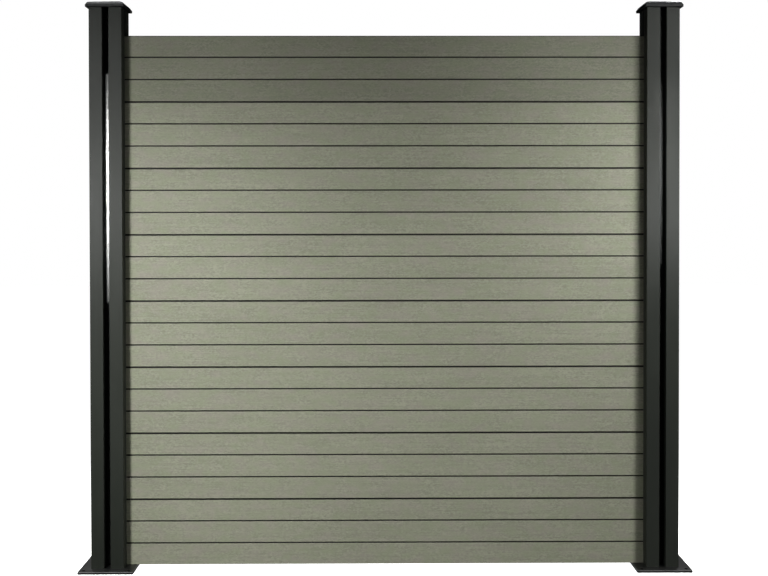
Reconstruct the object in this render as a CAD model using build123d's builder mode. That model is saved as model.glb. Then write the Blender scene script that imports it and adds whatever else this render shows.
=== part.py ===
from build123d import *
from math import atan2, degrees, sqrt
import os

# Free-standing fence bay: tongue-and-groove composite boards stacked on edge
# between two slotted posts, each with a bolt-down base plate and a cap.
# Frame: origin at the bottom centre of the bay, +X along the fence,
# -Y towards the front, +Z up. Millimetres.

# Boards, and the two slat grooves in each of their faces
board_count = 8
board_length = 1800.0
board_thickness = 20.0
board_face_height = 220.0
board_joint_gap = 5.0
board_edge_radius = 1.5
slat_count = 3
slat_pitch = 75.0
lowest_slat_height = 73.6
slat_groove_width = 4.0
slat_groove_depth = 3.0
slat_edge_cut = 0.8

# Hollow chambers inside a board
board_skin = 4.0
chambers_per_slat = 2
chamber_rib = 4.5
groove_rib_wall = 3.0

# Tongue on the top edge of a board and the groove in its bottom edge
tongue_thickness = 7.0
tongue_engagement = 8.0
tongue_tip_radius = 1.2
tongue_side_clearance = 0.5
groove_roof_wall = 4.5
tongue_root_wall = 6.0
trimmed_tongue_height = 2.5

# Posts: four corner tubes round a square core, with a slot in each side
post_size = 110.0
post_headroom = 85.0
post_wall = 2.0
post_corner_radius = 1.5
slot_clearance = 2.0
slot_lip_cut = 0.8
board_end_engagement = 20.0

# Screw port in the outer corner of each corner tube
port_size = 7.5
port_bore_radius = 2.1

# Base plates
plate_margin = 37.5
plate_thickness = 8.0
plate_corner_radius = 3.0
plate_edge_chamfer = 0.8
anchor_edge_distance = 17.5
anchor_hole_radius = 6.0
plate_screw_hole_radius = 2.7
plate_screw_sink_radius = 5.4

# Post caps
cap_overhang = 10.5
cap_flange_height = 8.0
cap_ledge = 0.2
cap_shoulder_inset = 6.5
cap_shoulder_rise = 8.0
cap_roof_inset = 14.0
cap_rise = 14.0
cap_corner_radius = 5.0
cap_bottom_edge_cut = 1.0
cap_wall = 3.0
cap_seat_width = 5.0
leg_length = 18.0
leg_wall = 2.5
leg_clearance = 0.3

# Worked-out sizes
board_pitch = board_face_height + board_joint_gap
chamber_width = board_thickness - 2 * board_skin
tongue_groove_width = tongue_thickness + 2 * tongue_side_clearance
clear_span = board_length - 2 * board_end_engagement
post_spacing = clear_span + post_size
post_length = board_count * board_pitch + post_headroom
post_top = plate_thickness + post_length
slot_width = board_thickness + slot_clearance
core_size = slot_width + 2 * post_wall
slot_depth = (post_size - core_size) / 2
corner_tube_size = (post_size - slot_width) / 2
corner_tube_offset = (slot_width + corner_tube_size) / 2
corner_void_size = corner_tube_size - 2 * post_wall
core_void_size = core_size - 2 * post_wall
port_spacing = post_size - 2 * post_wall - port_size
plate_size = post_size + 2 * plate_margin
anchor_spacing = plate_size - 2 * anchor_edge_distance
cap_size = post_size + 2 * cap_overhang
cap_shoulder_size = cap_size - 2 * cap_shoulder_inset
cap_top_size = cap_shoulder_size - 2 * cap_roof_inset

os.makedirs("parts", exist_ok=True)


def save(piece, name):
    """Label a finished piece and write it to its own file."""
    piece.part.label = name
    export_step(piece.part, "parts/" + name + ".step")


def slat_groove_heights():
    """Heights of the slat grooves' centres above a board's lower edge."""
    return [lowest_slat_height + i * slat_pitch for i in range(slat_count - 1)]


def chamber_spans():
    """Lower and upper end of every chamber above a board's lower edge."""
    half_rib = slat_groove_width / 2 + groove_rib_wall
    lows = [tongue_engagement + groove_roof_wall]
    lows += [height + half_rib for height in slat_groove_heights()]
    highs = [height - half_rib for height in slat_groove_heights()]
    highs += [board_face_height - tongue_root_wall]
    spans = []
    for low, high in zip(lows, highs):
        step = (high - low + chamber_rib) / chambers_per_slat
        for i in range(chambers_per_slat):
            start = low + i * step
            spans.append((start, start + step - chamber_rib))
    return spans


def is_slat_edge(corner):
    """Tell whether a corner of a board's section is at the mouth of a slat groove."""
    at_face = abs(abs(corner.X) - board_thickness / 2) < 0.01
    offsets = [abs(corner.Y - height) for height in slat_groove_heights()]
    return at_face and any(abs(offset - slat_groove_width / 2) < 0.01 for offset in offsets)


def fence_board(base, tongue_height):
    """A hollow board on edge: lower edge at height base, tongue upwards."""
    section_plane = Plane(
        origin=(-board_length / 2, 0, base), x_dir=(0, 1, 0), z_dir=(1, 0, 0)
    )
    tip_radius = min(tongue_tip_radius, tongue_height / 3)
    tongue_length = board_skin + tongue_height
    with BuildPart() as board:
        with BuildSketch(section_plane) as section:
            with Locations((0, board_face_height / 2)):
                RectangleRounded(board_thickness, board_face_height, board_edge_radius)
            with Locations((0, board_face_height - board_skin + tongue_length / 2)):
                RectangleRounded(tongue_thickness, tongue_length, tip_radius)
            with Locations((0, 0)):
                Rectangle(tongue_groove_width, 2 * tongue_engagement, mode=Mode.SUBTRACT)
            for height in slat_groove_heights():
                with Locations((-board_thickness / 2, height), (board_thickness / 2, height)):
                    Rectangle(2 * slat_groove_depth, slat_groove_width, mode=Mode.SUBTRACT)
            chamfer(section.vertices().filter_by(is_slat_edge), slat_edge_cut)
            for low, high in chamber_spans():
                with Locations((0, (low + high) / 2)):
                    Rectangle(chamber_width, high - low, mode=Mode.SUBTRACT)
        extrude(amount=board_length)
    return board


def is_slot_lip(corner):
    """Tell whether a corner of the post's section is at the mouth of a slot."""
    across, along = sorted((abs(corner.X), abs(corner.Y)))
    at_mouth = abs(along - post_size / 2) < 0.01
    return at_mouth and abs(across - slot_width / 2) < 0.01


def slotted_post(centre):
    """An extruded post section, standing on its base plate."""
    section_plane = Plane((centre, 0, plate_thickness))
    with BuildPart() as post:
        with BuildSketch(section_plane) as section:
            RectangleRounded(post_size, post_size, post_corner_radius)
            with PolarLocations((post_size - slot_depth) / 2, 4):
                Rectangle(slot_depth, slot_width, mode=Mode.SUBTRACT)
            chamfer(section.vertices().filter_by(is_slot_lip), slot_lip_cut)
            with GridLocations(2 * corner_tube_offset, 2 * corner_tube_offset, 2, 2):
                Rectangle(corner_void_size, corner_void_size, mode=Mode.SUBTRACT)
            Rectangle(core_void_size, core_void_size, mode=Mode.SUBTRACT)
            with GridLocations(port_spacing, port_spacing, 2, 2):
                Rectangle(port_size, port_size)
                Circle(port_bore_radius, mode=Mode.SUBTRACT)
        extrude(amount=post_length)
    return post


def base_plate(centre):
    """A square foot plate with anchor holes and countersunk screw holes."""
    plate_plane = Plane((centre, 0, 0))
    with BuildPart() as plate:
        with BuildSketch(plate_plane):
            RectangleRounded(plate_size, plate_size, plate_corner_radius)
        extrude(amount=plate_thickness)
        top_edges = plate.faces().sort_by(Axis.Z)[-1].edges()
        chamfer(top_edges, plate_edge_chamfer)
        with Locations(plate_plane.offset(plate_thickness)):
            with GridLocations(anchor_spacing, anchor_spacing, 2, 2):
                Hole(anchor_hole_radius)
        with Locations(Plane((centre, 0, 0), z_dir=(0, 0, -1))):
            with GridLocations(port_spacing, port_spacing, 2, 2):
                CounterSinkHole(plate_screw_hole_radius, plate_screw_sink_radius)
    return plate


def inward_taper(lower_size, upper_size, height):
    """Taper angle that narrows a square from one size to another."""
    return degrees(atan2((lower_size - upper_size) / 2, height))


def post_cap(centre):
    """A domed cap whose legs plug into the corner tubes of the post."""
    seat = Plane((centre, 0, post_top))
    roof_rise = cap_rise - cap_shoulder_rise
    corner_setback = cap_corner_radius * (1 - sqrt(0.5))
    dome_size = cap_size - 2 * (corner_setback + cap_ledge)
    shoulder_taper = inward_taper(dome_size, cap_shoulder_size, cap_shoulder_rise)
    roof_taper = inward_taper(cap_shoulder_size, cap_top_size, roof_rise)
    pocket_size = post_size - 2 * cap_seat_width
    pocket_top_size = cap_top_size - 2 * cap_wall
    pocket_height = cap_flange_height + cap_rise - cap_wall
    pocket_taper = inward_taper(pocket_size, pocket_top_size, pocket_height)
    leg_size = corner_void_size - 2 * leg_clearance
    leg_inside = leg_size - 2 * leg_wall
    notch_size = port_size + 2 * leg_clearance
    with BuildPart() as cap:
        with BuildSketch(seat.offset(cap_flange_height)):
            Rectangle(dome_size, dome_size)
        extrude(amount=cap_shoulder_rise, taper=shoulder_taper)
        with BuildSketch(seat.offset(cap_flange_height + cap_shoulder_rise)):
            Rectangle(cap_shoulder_size, cap_shoulder_size)
        extrude(amount=roof_rise, taper=roof_taper)
        with BuildSketch(seat):
            RectangleRounded(cap_size, cap_size, cap_corner_radius)
        extrude(amount=cap_flange_height)
        bottom_edges = cap.faces().sort_by(Axis.Z)[0].edges()
        chamfer(bottom_edges, cap_bottom_edge_cut)
        with BuildSketch(seat):
            Rectangle(pocket_size, pocket_size)
        extrude(amount=pocket_height, taper=pocket_taper, mode=Mode.SUBTRACT)
        with BuildSketch(seat.offset(-leg_length)):
            with GridLocations(2 * corner_tube_offset, 2 * corner_tube_offset, 2, 2):
                Rectangle(leg_size, leg_size)
                Rectangle(leg_inside, leg_inside, mode=Mode.SUBTRACT)
        extrude(amount=leg_length + cap_flange_height)
        with BuildSketch(seat.offset(-leg_length)):
            with GridLocations(port_spacing, port_spacing, 2, 2):
                Rectangle(notch_size, notch_size)
        extrude(amount=leg_length, mode=Mode.SUBTRACT)
    return cap


# Boards, from the ground up: the top one has its tongue trimmed to a stub
for number in range(1, board_count + 1):
    base = plate_thickness + (number - 1) * board_pitch
    full_tongue = board_joint_gap + tongue_engagement
    tongue = trimmed_tongue_height if number == board_count else full_tongue
    save(fence_board(base, tongue), f"board_{number}")

# A post, a base plate and a cap at each end
for side, centre in (("left", -post_spacing / 2), ("right", post_spacing / 2)):
    save(slotted_post(centre), side + "_post")
    save(base_plate(centre), side + "_base_plate")
    save(post_cap(centre), side + "_post_cap")
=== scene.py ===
"""Looks of the free-standing fence bay: finishes, foot screws, studio light and camera.

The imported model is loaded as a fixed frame. Every length here is in metres, in the
same frame: origin on the ground at the middle of the bay, +X along the fence,
-Y towards the front, +Z up.
"""

import math

import bmesh
import bpy
from mathutils import Matrix, Vector


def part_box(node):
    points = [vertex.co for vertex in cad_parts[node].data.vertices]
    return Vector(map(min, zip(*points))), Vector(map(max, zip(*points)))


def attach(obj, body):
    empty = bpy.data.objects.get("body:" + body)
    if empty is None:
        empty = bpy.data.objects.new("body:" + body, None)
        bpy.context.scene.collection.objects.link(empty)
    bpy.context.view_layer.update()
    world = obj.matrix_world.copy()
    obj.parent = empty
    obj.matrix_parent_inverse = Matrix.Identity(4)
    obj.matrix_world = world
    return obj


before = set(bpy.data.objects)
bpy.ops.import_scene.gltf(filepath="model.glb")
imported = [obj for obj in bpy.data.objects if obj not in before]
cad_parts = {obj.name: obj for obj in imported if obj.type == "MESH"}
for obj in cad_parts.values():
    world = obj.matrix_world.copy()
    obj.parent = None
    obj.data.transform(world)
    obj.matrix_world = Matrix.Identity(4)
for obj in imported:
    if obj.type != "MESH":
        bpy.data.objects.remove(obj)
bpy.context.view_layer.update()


def middle_of(node):
    """Middle of a node's box."""
    low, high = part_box(node)
    return (low + high) / 2


# Where the pieces are, read from the frame
BOARDS = sorted(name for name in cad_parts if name.startswith("board_"))
SIDES = ("left", "right")
BODY = "root"
board_half_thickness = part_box("board_1")[1].y
post_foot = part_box("left_post")[0].z
post_offset = middle_of("right_post").x
plate_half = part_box("right_base_plate")[1].y

WHITE = (1.0, 1.0, 1.0, 1.0)

# Noise lies mostly in this part of its range from 0 to 1
NOISE_RANGE = (0.3, 0.7)


# Small helpers for node materials


def new_tree(name):
    """A material with an empty node tree, and that tree."""
    material = bpy.data.materials.new(name)
    material.use_nodes = True
    material.node_tree.nodes.clear()
    return material, material.node_tree


def add(tree, kind, **settings):
    """A node of the given kind with its properties set."""
    node = tree.nodes.new(kind)
    for key, value in settings.items():
        setattr(node, key, value)
    return node


def feed(tree, socket, value):
    """Link an output to a socket, or set the socket to a plain value."""
    if isinstance(value, bpy.types.NodeSocket):
        tree.links.new(value, socket)
    else:
        socket.default_value = value


def position(tree):
    """A point's place in the frame, in metres."""
    return add(tree, "ShaderNodeTexCoord").outputs["Object"]


def place_along(tree, axis):
    """A point's place along one axis of the frame."""
    separate = add(tree, "ShaderNodeSeparateXYZ")
    feed(tree, separate.inputs["Vector"], position(tree))
    return separate.outputs[axis]


def pattern(tree, settings, shift=(0.0, 0.0, 0.0)):
    """Noise from 0 to 1, by its cells to the metre on each axis, detail and roughness."""
    cells, detail, roughness = settings
    mapping = add(tree, "ShaderNodeMapping")
    feed(tree, mapping.inputs["Vector"], position(tree))
    feed(tree, mapping.inputs["Scale"], cells)
    feed(tree, mapping.inputs["Location"], shift)
    node = add(tree, "ShaderNodeTexNoise")
    feed(tree, node.inputs["Vector"], mapping.outputs["Vector"])
    feed(tree, node.inputs["Scale"], 1.0)
    feed(tree, node.inputs["Detail"], detail)
    feed(tree, node.inputs["Roughness"], roughness)
    return node.outputs["Fac"]


def remap(tree, value, low, high, out_low, out_high):
    """A value mapped from one range to another, and clamped to it."""
    node = add(tree, "ShaderNodeMapRange", clamp=True)
    feed(tree, node.inputs["Value"], value)
    feed(tree, node.inputs["From Min"], low)
    feed(tree, node.inputs["From Max"], high)
    feed(tree, node.inputs["To Min"], out_low)
    feed(tree, node.inputs["To Max"], out_high)
    return node.outputs["Result"]


def math_node(tree, operation, first, second=0.0):
    """The result of a Math node."""
    node = add(tree, "ShaderNodeMath", operation=operation)
    feed(tree, node.inputs[0], first)
    feed(tree, node.inputs[1], second)
    return node.outputs["Value"]


def mix(tree, factor, first, second, data_type="RGBA", blend_type="MIX"):
    """Two colours or numbers mixed, or blended, by a factor."""
    node = add(tree, "ShaderNodeMix", data_type=data_type, blend_type=blend_type)
    feed(tree, node.inputs["Factor"], factor)
    feed(tree, node.inputs["A"], first)
    feed(tree, node.inputs["B"], second)
    return node.outputs["Result"]


def bump(tree, height, relief, below=None):
    """A normal raised by a height, on top of another bump where one is given."""
    distance, strength = relief
    node = add(tree, "ShaderNodeBump")
    feed(tree, node.inputs["Height"], height)
    feed(tree, node.inputs["Distance"], distance)
    feed(tree, node.inputs["Strength"], strength)
    if below is not None:
        feed(tree, node.inputs["Normal"], below)
    return node.outputs["Normal"]


def finish_material(tree, colour, roughness, normal=None, metallic=0.0, specular=0.5):
    """The shader and the output at the end of a material."""
    shader = add(tree, "ShaderNodeBsdfPrincipled")
    feed(tree, shader.inputs["Base Color"], colour)
    feed(tree, shader.inputs["Roughness"], roughness)
    if normal is not None:
        feed(tree, shader.inputs["Normal"], normal)
    feed(tree, shader.inputs["Metallic"], metallic)
    feed(tree, shader.inputs["Specular IOR Level"], specular)
    output = add(tree, "ShaderNodeOutputMaterial")
    tree.links.new(shader.outputs["BSDF"], output.inputs["Surface"])
    return shader


def dress(node, material):
    """Give a frame node its material."""
    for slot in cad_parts[node].material_slots:
        slot.material = material


# Composite boards: brushed greige faces, and darker unbrushed grooves and edges, made near black
# with painted shade

BOARD_LIGHT = (0.240, 0.247, 0.184, 1.0)
BOARD_DARK = (0.168, 0.174, 0.127, 1.0)
BOARD_WARM = (0.222, 0.206, 0.174, 1.0)
BOARD_GREEN = (0.194, 0.216, 0.140, 1.0)
BOARD_UNBRUSHED_AND_SHADE = (0.010, 0.010, 0.007, 1.0)
BOARD_ROUGHNESS = (0.68, 0.82)
BOARD_SPECULAR = 0.35
TOP_BOARD_SHADE = 0.78

# Patterns: cells to the metre along each axis, detail and roughness of the noise
STREAKS = ((6.0, 260.0, 260.0), 4.0, 0.60)
BLOTCHES = ((2.2, 8.0, 7.0), 3.0, 0.55)
FLECKS = ((130.0, 260.0, 260.0), 2.0, 0.60)
MOTTLE = ((50.0, 85.0, 85.0), 2.0, 0.50)
WARM_SPOTS = ((16.0, 34.0, 34.0), 2.0, 0.50)
GREEN_SPOTS = ((22.0, 38.0, 38.0), 2.0, 0.50)
SHIFT_PER_BOARD = (3.7, 0.0, 5.3)

# How far each pattern moves a board from its dark colour, at 0, to its light one, at 1
STREAK_TONES = (0.12, 0.88)
BLOTCH_SWING = 0.22
MOTTLE_SWING = 0.16
FLECK_SWING = 0.60

# Where the warm and green spots set in and are full, and how much of a full one shows
SPOT_RANGE = (0.42, 0.70)
SPOT_SHARE = 0.60

# Bumps: depth in metres, and strength
STREAK_RELIEF = (0.00008, 0.5)
FLECK_RELIEF = (0.00006, 0.5)

# Depths under a face where the brushing starts and where it is full
BRUSHED_DEPTHS = (0.0005, 0.0001)

# Painted highlight: brighter edges beside the joints and the slat grooves, which come every 75
# mm
EDGE_HIGHLIGHT = (1.10, 1.10, 1.10, 1.0)
SLAT_PITCH = 0.075
FIRST_GROOVE = 0.0816
HIGHLIGHT_REACH = (0.0034, 0.0062)


def slat_edge_highlight(tree):
    """One on the face beside a groove or joint, where a highlight is painted, falling to zero
    away from it.
    """
    from_first = math_node(tree, "SUBTRACT", place_along(tree, "Z"), FIRST_GROOVE)
    distance = math_node(tree, "PINGPONG", from_first, SLAT_PITCH / 2)
    return remap(tree, distance, *HIGHLIGHT_REACH, 1.0, 0.0)


def brushed_face(tree):
    """One on the brushed faces of a board, and zero in its grooves and cut edges."""
    from_core = math_node(tree, "ABSOLUTE", place_along(tree, "Y"))
    start, full = (board_half_thickness - depth for depth in BRUSHED_DEPTHS)
    return remap(tree, from_core, start, full, 0.0, 1.0)


def board_tone(tree, streaks, flecks, shift):
    """Lightness of a board, from brushing, flecks and wider, softer patterns."""
    tone = remap(tree, streaks, *NOISE_RANGE, *STREAK_TONES)
    blotches = pattern(tree, BLOTCHES, shift)
    mottle = pattern(tree, MOTTLE, shift)
    swings = ((blotches, BLOTCH_SWING), (mottle, MOTTLE_SWING), (flecks, FLECK_SWING))
    for value, swing in swings:
        change = remap(tree, value, *NOISE_RANGE, -swing, swing)
        tone = math_node(tree, "ADD", tone, change)
    return tone


def board_material(name, number, shade):
    """Wood-plastic composite: fine lengthwise brushing, blotches and flecks."""
    material, tree = new_tree(name)
    shift = tuple(step * number for step in SHIFT_PER_BOARD)
    streaks = pattern(tree, STREAKS, shift)
    flecks = pattern(tree, FLECKS, shift)
    warm = remap(tree, pattern(tree, WARM_SPOTS, shift), *SPOT_RANGE, 0.0, SPOT_SHARE)
    green = remap(tree, pattern(tree, GREEN_SPOTS, shift[::-1]), *SPOT_RANGE, 0.0, SPOT_SHARE)

    colour = mix(tree, board_tone(tree, streaks, flecks, shift), BOARD_DARK, BOARD_LIGHT)
    colour = mix(tree, warm, colour, BOARD_WARM)
    colour = mix(tree, green, colour, BOARD_GREEN)
    colour = mix(tree, 1.0, colour, (shade, shade, shade, 1.0), blend_type="MULTIPLY")
    # Painted highlight: lighter bands on the faces beside the grooves and joints
    colour = mix(tree, slat_edge_highlight(tree), colour, EDGE_HIGHLIGHT, blend_type="MULTIPLY")
    # Grooves, joints and cut edges: a darker unbrushed surface, darkened further to near black
    # as painted shade
    colour = mix(tree, brushed_face(tree), BOARD_UNBRUSHED_AND_SHADE, colour)

    roughness = remap(tree, streaks, *NOISE_RANGE, *BOARD_ROUGHNESS)
    normal = bump(tree, streaks, STREAK_RELIEF)
    normal = bump(tree, flecks, FLECK_RELIEF, normal)
    finish_material(tree, colour, roughness, normal, specular=BOARD_SPECULAR)
    return material


def dress_boards():
    """Each board gets a material of its own, and the top one is darker."""
    for number, node in enumerate(BOARDS, 1):
        shade = TOP_BOARD_SHADE if node == BOARDS[-1] else 1.0
        dress(node, board_material("composite_" + node, number, shade))


# Powder coat on posts and plates

COAT = (0.0150, 0.0175, 0.0140, 1.0)
COAT_DUST = (0.0267, 0.0300, 0.0242, 1.0)
COAT_ROUGHNESS = (0.40, 0.48)
COAT_SPECULAR = 0.16
COAT_RELIEF = (0.00006, 0.6)
POST_TEXTURE = ((2200.0, 2200.0, 2200.0), 2.0, 0.5)

# Half sizes of a post's square core and of its slots, each with a small margin
CORE_HALF = 0.0138
SLOT_HALF = 0.0115

# Slots: bare metal on their floors, and a duller coat on their walls
BARE_FLOOR = (0.090, 0.093, 0.090, 1.0)
FLOOR_ROUGHNESS = 0.50
WALL_ROUGHNESS = 0.95

PLATE_COAT = (0.0070, 0.0072, 0.0072, 1.0)
PLATE_DUST = (0.0170, 0.0178, 0.0160, 1.0)
PLATE_ROUGHNESS = (0.26, 0.36)
PLATE_TEXTURE = ((1800.0, 1800.0, 1800.0), 2.0, 0.5)

# Painted highlight along the upper edge of the plates: colour, width inward, and height where it
# starts
PLATE_RIM_HIGHLIGHT = (0.1050, 0.1070, 0.1070, 1.0)
RIM_HIGHLIGHT_WIDTH = 0.0009
RIM_HIGHLIGHT_HEIGHT = 0.0054

# Film of dust: its pattern, the part of it that counts, and how thick it gets
FILM = ((6.0, 6.0, 2.5), 4.0, 0.6)
FILM_RANGE = (0.35, 0.70)
FILM_THICKNESS = (0.2, 1.0)
SPECKLE = ((400.0, 400.0, 400.0), 2.0, 0.5)


def coat_colour(tree, film, colour, dust):
    """A coat's colour under an uneven film of fine dust."""
    thickness = remap(tree, film, *FILM_RANGE, *FILM_THICKNESS)
    tone = math_node(tree, "MULTIPLY", thickness, pattern(tree, SPECKLE))
    return mix(tree, tone, colour, dust)


def from_post(tree):
    """Distances from a post's axis along the fence and across it."""
    from_middle = math_node(tree, "ABSOLUTE", place_along(tree, "X"))
    from_axis = math_node(tree, "SUBTRACT", from_middle, post_offset)
    along = math_node(tree, "ABSOLUTE", from_axis)
    across = math_node(tree, "ABSOLUTE", place_along(tree, "Y"))
    return along, across


def slot_faces(tree):
    """One on the floors of a post's slots, and one all through the slots."""
    along, across = from_post(tree)
    farther = math_node(tree, "MAXIMUM", along, across)
    nearer = math_node(tree, "MINIMUM", along, across)
    floors = math_node(tree, "LESS_THAN", farther, CORE_HALF)
    slots = math_node(tree, "LESS_THAN", nearer, SLOT_HALF)
    return floors, slots


def post_material():
    """Fine-textured powder coat, matt in the slots and worn off their floors."""
    material, tree = new_tree("powder_coat_post")
    film = pattern(tree, FILM)
    floors, slots = slot_faces(tree)
    colour = mix(tree, floors, coat_colour(tree, film, COAT, COAT_DUST), BARE_FLOOR)
    roughness = remap(tree, film, *NOISE_RANGE, *COAT_ROUGHNESS)
    roughness = mix(tree, slots, roughness, WALL_ROUGHNESS, data_type="FLOAT")
    roughness = mix(tree, floors, roughness, FLOOR_ROUGHNESS, data_type="FLOAT")
    normal = bump(tree, pattern(tree, POST_TEXTURE), COAT_RELIEF)
    finish_material(tree, colour, roughness, normal, metallic=floors, specular=COAT_SPECULAR)
    return material


def rim_highlight(tree):
    """One on the upper edge of a plate, where a highlight is painted, and zero elsewhere."""
    farther = math_node(tree, "MAXIMUM", *from_post(tree))
    rim = math_node(tree, "GREATER_THAN", farther, plate_half - RIM_HIGHLIGHT_WIDTH)
    upper = math_node(tree, "GREATER_THAN", place_along(tree, "Z"), RIM_HIGHLIGHT_HEIGHT)
    return math_node(tree, "MULTIPLY", rim, upper)


def plate_material():
    """Smoother powder coat on the steel plates, with a painted highlight along the upper edge.
    """
    material, tree = new_tree("powder_coat_plate")
    film = pattern(tree, FILM)
    colour = coat_colour(tree, film, PLATE_COAT, PLATE_DUST)
    # Painted highlight: a bright band along the plate's upper edge
    colour = mix(tree, rim_highlight(tree), colour, PLATE_RIM_HIGHLIGHT)
    roughness = remap(tree, film, *NOISE_RANGE, *PLATE_ROUGHNESS)
    normal = bump(tree, pattern(tree, PLATE_TEXTURE), COAT_RELIEF)
    finish_material(tree, colour, roughness, normal, specular=COAT_SPECULAR)
    return material


# Moulded caps and zinc-plated screws

CAP_DARK = (0.0088, 0.0096, 0.0096, 1.0)
CAP_LIGHT = (0.0132, 0.0144, 0.0144, 1.0)
CAP_ROUGHNESS = (0.46, 0.58)
CAP_SPECULAR = 0.20
CAP_RELIEF = (0.00005, 0.6)
CAP_GRAIN = ((3200.0, 3200.0, 3200.0), 2.0, 0.6)
CAP_PATCHES = ((14.0, 14.0, 14.0), 3.0, 0.5)
CAP_PATCH_RANGE = (0.35, 0.70)

ZINC_DARK = (0.42, 0.43, 0.44, 1.0)
ZINC_LIGHT = (0.62, 0.62, 0.60, 1.0)
ZINC_ROUGHNESS = (0.28, 0.45)
ZINC_RELIEF = (0.00003, 0.5)
ZINC_GRAIN = ((900.0, 900.0, 900.0), 3.0, 0.6)


def cap_material():
    """Moulded plastic with a fine spark-eroded grain."""
    material, tree = new_tree("moulded_cap")
    patches = pattern(tree, CAP_PATCHES)
    lighter = remap(tree, patches, *CAP_PATCH_RANGE, 0.0, 1.0)
    colour = mix(tree, lighter, CAP_DARK, CAP_LIGHT)
    roughness = remap(tree, patches, *NOISE_RANGE, *CAP_ROUGHNESS)
    normal = bump(tree, pattern(tree, CAP_GRAIN), CAP_RELIEF)
    finish_material(tree, colour, roughness, normal, specular=CAP_SPECULAR)
    return material


def screw_material():
    """Zinc-plated steel."""
    material, tree = new_tree("zinc_screws")
    grain = pattern(tree, ZINC_GRAIN)
    colour = mix(tree, grain, ZINC_DARK, ZINC_LIGHT)
    roughness = remap(tree, grain, *NOISE_RANGE, *ZINC_ROUGHNESS)
    normal = bump(tree, grain, ZINC_RELIEF)
    finish_material(tree, colour, roughness, normal, metallic=1.0)
    return material


def dress_ends():
    """Posts, plates and caps."""
    post = post_material()
    plate = plate_material()
    cap = cap_material()
    for side in SIDES:
        dress(side + "_post", post)
        dress(side + "_base_plate", plate)
        dress(side + "_post_cap", cap)


# Countersunk screws in the underside of each foot, up into the post's ports

SCREW_SPACING = 0.0985
SCREW_SIDES = 24

# Heights of a screw's head and of its point above the ground, and its own sizes
HEAD_HEIGHT = 0.0003
POINT_HEIGHT = 0.028
HEAD_RADIUS = 0.0052
HEAD_RIM = 0.0003
HEAD_DEPTH = 0.0027
SOCKET_RADIUS = 0.0019
SOCKET_DEPTH = 0.0016
SHANK_RADIUS = 0.0025
THREAD_RADIUS = 0.0020
THREAD_START = 0.0005
POINT_RADIUS = 0.0008
POINT_LENGTH = 0.002


def ring(mesh, radius, height):
    """A ring of vertices, with its first one on the X axis."""
    angles = [2 * math.pi * i / SCREW_SIDES for i in range(SCREW_SIDES)]
    return [mesh.verts.new((radius * math.cos(a), radius * math.sin(a), height)) for a in angles]


def skin(mesh, lower, upper):
    """A band of faces between two rings."""
    for i in range(SCREW_SIDES):
        j = (i + 1) % SCREW_SIDES
        mesh.faces.new((lower[i], lower[j], upper[j], upper[i]))


def screw_mesh():
    """A countersunk screw, head down, with a round socket in its head."""
    mesh = bmesh.new()
    outline = [
        (SOCKET_RADIUS, HEAD_HEIGHT + SOCKET_DEPTH),
        (SOCKET_RADIUS, HEAD_HEIGHT),
        (HEAD_RADIUS, HEAD_HEIGHT),
        (HEAD_RADIUS, HEAD_HEIGHT + HEAD_RIM),
        (SHANK_RADIUS, HEAD_HEIGHT + HEAD_DEPTH),
        (SHANK_RADIUS, post_foot),
        (THREAD_RADIUS, post_foot + THREAD_START),
        (THREAD_RADIUS, POINT_HEIGHT - POINT_LENGTH),
        (POINT_RADIUS, POINT_HEIGHT),
    ]
    rings = [ring(mesh, radius, height) for radius, height in outline]
    for lower, upper in zip(rings, rings[1:]):
        skin(mesh, lower, upper)
    mesh.faces.new(rings[0])
    mesh.faces.new(rings[-1])
    bmesh.ops.recalc_face_normals(mesh, faces=mesh.faces)
    return mesh


def foot_screws(side, material):
    """The four screws of one foot, joined as one piece."""
    one = screw_mesh()
    data = bpy.data.meshes.new(side + "_base_screws")
    joined = bmesh.new()
    centre = middle_of(side + "_post").x
    half = SCREW_SPACING / 2
    for x in (centre - half, centre + half):
        for y in (-half, half):
            single = bpy.data.meshes.new("single_screw")
            one.to_mesh(single)
            single.transform(Matrix.Translation((x, y, 0.0)))
            joined.from_mesh(single)
            bpy.data.meshes.remove(single)
    joined.to_mesh(data)
    one.free()
    joined.free()
    data.materials.append(material)
    piece = bpy.data.objects.new(side + "_base_screws", data)
    bpy.context.scene.collection.objects.link(piece)
    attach(piece, BODY)


def add_screws():
    """Screws in both feet."""
    material = screw_material()
    for side in SIDES:
        foot_screws(side, material)


# Studio: white surround, pale floor and soft lights

WORLD_DIFFUSE = 0.02
WORLD_GLOSSY = 0.01
STAGE_SIZE = 30.0
STAGE_COLOUR = (0.8, 0.8, 0.8, 1.0)
STAGE_ROUGHNESS = 0.9
STAGE_GLOW = 1.0

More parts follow.
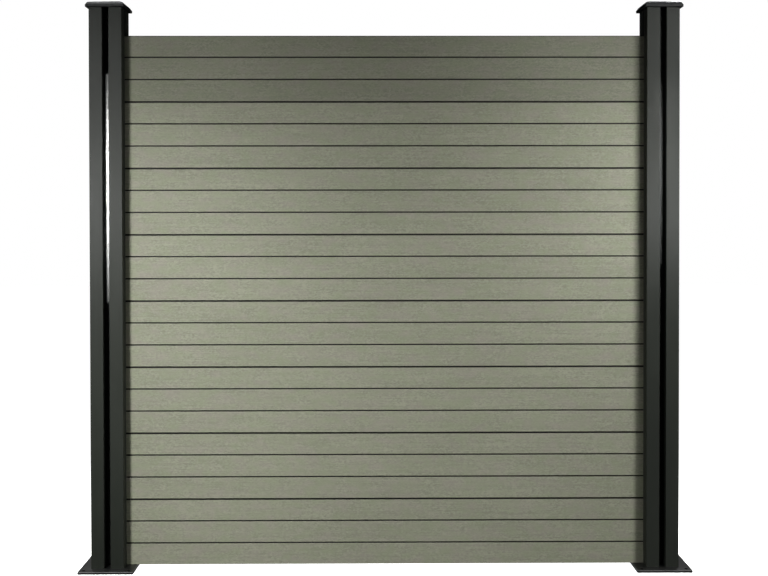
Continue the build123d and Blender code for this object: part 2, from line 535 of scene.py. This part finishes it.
# Soft lights: place, point looked at, width and height, spread in degrees, and watts
LIGHTS = {
    "left": ((-1.46, -1.40, 1.26), (-0.60, 0.0, 1.14), (0.35, 0.30), 81.0, 3.95),
    "left_top": ((-1.46, -1.40, 1.95), (-0.48, 0.0, 1.80), (0.35, 0.30), 81.0, 1.62),
    "left_far": ((-1.72, -2.50, 2.10), (-0.60, 0.0, 0.05), (0.45, 0.40), 55.0, 11.1),
    "right": ((1.31, -0.86, 1.27), (0.62, 0.0, 1.14), (0.50, 0.30), 114.0, 5.0),
    "right_top": ((1.31, -0.86, 1.95), (0.48, 0.0, 1.80), (0.50, 0.30), 114.0, 2.8),
    "right_far": ((2.40, -2.40, 2.10), (0.60, 0.0, 0.05), (0.70, 0.40), 55.0, 5.6),
    "right_low": ((2.10, -1.90, 0.06), (0.60, 0.0, 0.0), (0.70, 0.10), 60.0, 0.95),
    "right_post": ((1.36, -1.65, 1.53), (0.945, -0.055, 1.49), (0.04, 0.30), 6.0, 0.03),
    "left_cap": ((-0.935, -0.25, 3.10), (-0.935, -0.05, 1.91), (0.20, 0.20), 12.0, 0.10),
    "right_cap": ((0.935, -0.25, 3.10), (0.935, -0.05, 1.91), (0.20, 0.20), 12.0, 0.02),
    "back_left": ((-2.20, 2.60, 3.40), (-1.25, 0.0, 0.90), (0.60, 0.60), 56.0, 22.0),
    "back_right": ((2.20, 2.60, 3.40), (1.25, 0.0, 0.90), (0.60, 0.60), 56.0, 22.0),
    "outer_left": ((-2.30, 0.0, 3.00), (-0.99, 0.0, 0.95), (0.50, 0.50), 60.0, 14.0),
    "outer_right": ((2.30, 0.0, 3.00), (0.99, 0.0, 0.95), (0.50, 0.50), 60.0, 10.0),
}

# Strip lights in the mouths of the front slots: shift from the post's middle, middle
# height, spread of heights, and peak
GLINTS = {
    "left": (-0.0034, 1.289, 0.134, 1.9),
    "right": (0.0028, 1.335, 0.115, 0.20),
}
GLINT_PLACE = -0.056
GLINT_WIDTH = 0.004
GLINT_SPREAD = 14.0

# Level of a glint's first and longest strip, or that share of a peak under one, and
# the ratio of each level to the one before
GLINT_FAINTEST = 0.03
GLINT_STEP = 1.7

# Watts for each square metre of strip, at a level of one
GLINT_STRENGTH = 100.0


def plain_background(tree, strength):
    """A white background of some strength."""
    node = add(tree, "ShaderNodeBackground")
    feed(tree, node.inputs["Color"], WHITE)
    feed(tree, node.inputs["Strength"], strength)
    return node.outputs["Background"]


def choose(tree, factor, first, second):
    """The first shader, or the second where the factor is one."""
    node = add(tree, "ShaderNodeMixShader")
    for socket, value in zip(node.inputs, (factor, first, second)):
        tree.links.new(value, socket)
    return node.outputs["Shader"]


def white_surround():
    """White to the camera, and a dim even grey as light."""
    world = bpy.data.worlds.new("white_surround")
    bpy.context.scene.world = world
    world.use_nodes = True
    tree = world.node_tree
    tree.nodes.clear()
    path = add(tree, "ShaderNodeLightPath")
    diffuse = plain_background(tree, WORLD_DIFFUSE)
    glossy = plain_background(tree, WORLD_GLOSSY)
    seen = plain_background(tree, 1.0)
    light = choose(tree, path.outputs["Is Glossy Ray"], diffuse, glossy)
    shown = choose(tree, path.outputs["Is Camera Ray"], light, seen)
    output = add(tree, "ShaderNodeOutputWorld")
    tree.links.new(shown, output.inputs["Surface"])


def pale_floor():
    """A pale floor that merges with the background and lights nothing."""
    material, tree = new_tree("pale_floor")
    shader = finish_material(tree, STAGE_COLOUR, STAGE_ROUGHNESS, specular=0.0)
    feed(tree, shader.inputs["Emission Color"], WHITE)
    feed(tree, shader.inputs["Emission Strength"], STAGE_GLOW)
    mesh = bpy.data.meshes.new("floor")
    half = STAGE_SIZE / 2
    corners = [(-half, -half, 0), (half, -half, 0), (half, half, 0), (-half, half, 0)]
    mesh.from_pydata(corners, [], [(0, 1, 2, 3)])
    mesh.materials.append(material)
    floor = bpy.data.objects.new("floor", mesh)
    bpy.context.scene.collection.objects.link(floor)
    floor.visible_diffuse = False
    floor.visible_glossy = False


def soft_light(name, place, target, size, spread, power):
    """A rectangular soft light that looks at a target point, with its spread limited."""
    data = bpy.data.lights.new(name, "AREA")
    data.shape = "RECTANGLE"
    data.size, data.size_y = size
    data.spread = math.radians(spread)
    data.energy = power
    light = bpy.data.objects.new(name, data)
    light.location = place
    light.rotation_mode = "QUATERNION"
    light.rotation_quaternion = (Vector(target) - Vector(place)).to_track_quat("-Z", "Y")
    bpy.context.scene.collection.objects.link(light)
    return light


def slot_glint(side, shift, middle, deviation, peak):
    """Strips stacked so that their light fades up and down a slot like a bell curve."""
    across = middle_of(side + "_post").x + shift
    place = (across, GLINT_PLACE, middle)
    target = (across, 0.0, middle)
    reached = 0.0
    level = GLINT_FAINTEST * min(peak, 1.0)
    while level < peak:
        height = 2 * deviation * math.sqrt(2 * math.log(peak / level))
        power = GLINT_STRENGTH * (level - reached) * GLINT_WIDTH * height
        size = (GLINT_WIDTH, height)
        strip = soft_light(side + "_glint", place, target, size, GLINT_SPREAD, power)
        strip.visible_camera = False
        reached = level
        level *= GLINT_STEP


def studio_lights():
    """All the soft lights, and the glints on the floors of the front slots."""
    for name, settings in LIGHTS.items():
        soft_light(name + "_light", *settings)
    for side, settings in GLINTS.items():
        slot_glint(side, *settings)


# The photograph's camera, as fitted to the post, board and plate edges

LENS_MM = 52.07
SENSOR_MM = 36.0
CAMERA_PLACE = (-0.0279, -3.7826, 1.1944)
CAMERA_TURN = (-0.01319, 0.00129, -0.00662)
CAMERA_SHIFT_Y = -0.075
CAMERA_CLIP = (0.05, 100.0)


def photo_camera():
    """The camera at the photograph's place, without depth of field."""
    data = bpy.data.cameras.new("camera")
    data.lens = LENS_MM
    data.sensor_width = SENSOR_MM
    data.shift_y = CAMERA_SHIFT_Y
    data.clip_start, data.clip_end = CAMERA_CLIP
    camera = bpy.data.objects.new("camera", data)
    camera.location = CAMERA_PLACE
    tilt, roll, turn = CAMERA_TURN
    camera.rotation_euler = (math.pi / 2 + tilt, roll, turn)
    bpy.context.scene.collection.objects.link(camera)
    bpy.context.scene.camera = camera


def show_plain_colours():
    """Colours go to the picture as they are, with no film look."""
    settings = bpy.context.scene.view_settings
    settings.view_transform = "Standard"
    settings.look = "None"


dress_boards()
dress_ends()
add_screws()
white_surround()
pale_floor()
studio_lights()
photo_camera()
show_plain_colours()
